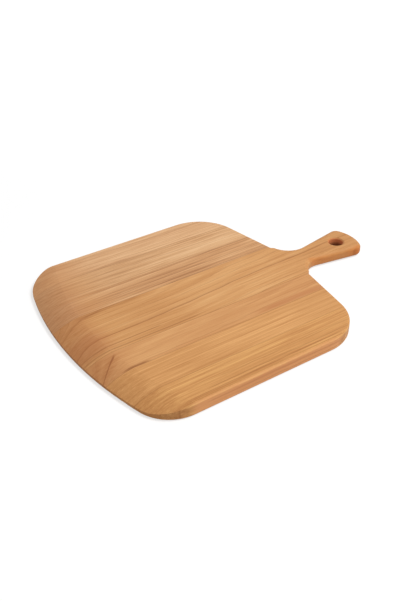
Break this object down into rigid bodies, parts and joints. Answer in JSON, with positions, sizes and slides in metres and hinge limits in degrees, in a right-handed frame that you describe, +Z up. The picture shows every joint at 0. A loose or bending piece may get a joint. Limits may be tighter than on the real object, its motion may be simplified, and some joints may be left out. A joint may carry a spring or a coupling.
{
  "type": "serving board",
  "caption": "Flat wooden serving board with a handle, edge-glued from staves: arched and tapered front edge, rounded corners, sloped shoulders, and a hanging hole in the handle.",
  "frame": {"origin": "centre of the board's footprint, on the underside", "axes": "+Y along the board towards the end of the handle, +Z up from the underside to the serving face, +X to the right seen from the front edge"},
  "size_m": [0.34, 0.455, 0.0165],
  "materials": {
    "wood_centre": "oiled satin",
    "wood_inner_right": "oiled satin",
    "wood_middle_right": "oiled satin",
    "wood_outer_right": "oiled satin",
    "wood_inner_left": "oiled satin",
    "wood_middle_left": "oiled satin",
    "wood_outer_left": "oiled satin"
  },
  "bodies": {
    "root": {"handle_stave": "wood_centre", "inner_stave_right": "wood_inner_right", "middle_stave_right": "wood_middle_right", "outer_stave_right": "wood_outer_right", "inner_stave_left": "wood_inner_left", "middle_stave_left": "wood_middle_left", "outer_stave_left": "wood_outer_left"}
  },
  "joints": []
}
